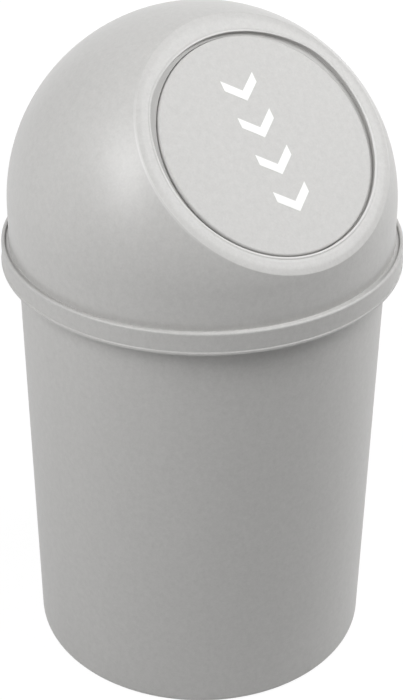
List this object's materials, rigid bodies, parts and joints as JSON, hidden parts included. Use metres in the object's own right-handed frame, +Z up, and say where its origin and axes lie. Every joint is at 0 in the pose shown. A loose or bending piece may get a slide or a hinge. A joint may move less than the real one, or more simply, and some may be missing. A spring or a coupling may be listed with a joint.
{
  "type": "push-lid waste bin",
  "caption": "Round tapered plastic waste bin with a lift-off dome lid and a sprung round push flap in a sloping opening that swings inward.",
  "frame": {"origin": "middle of the foot's underside, on the tub's axis", "axes": "+Z up along the tub's axis; the flap faces -Y, so the opening slopes up from -Y; +X to the right of someone facing the flap"},
  "size_m": [0.216, 0.216, 0.375],
  "materials": {
    "tub_plastic": "fine-grained moulded polypropylene, light grey",
    "lid_plastic": "satin moulded polypropylene, light grey",
    "flap_plastic": "fine-grained moulded polypropylene, light grey",
    "cap_plastic": "moulded nylon, grey",
    "pin_steel": "drawn steel rod",
    "spring_steel": "drawn spring wire"
  },
  "bodies": {
    "tub": {"tub": "tub_plastic"},
    "lid": {"lid_dome": "lid_plastic", "hinge_pin": "pin_steel", "pin_cap_left": "cap_plastic", "pin_cap_right": "cap_plastic", "spring_left": "spring_steel", "spring_right": "spring_steel"},
    "flap": {"flap": "flap_plastic"}
  },
  "joints": [
    {"name": "lid_lift", "type": "slide", "parent": "tub", "child": "lid", "axis": [0, 0, 1], "range_m": [0, 0.12]},
    {"name": "flap_hinge", "type": "hinge", "parent": "lid", "child": "flap", "pos_m": [0, -0.01237, 0.34681], "axis": [1, 0, 0], "range_deg": [0, 75], "stiffness_Nm_per_rad": 0.02, "springref_deg": -85.94, "deforming": ["spring_left", "spring_right"]}
  ]
}
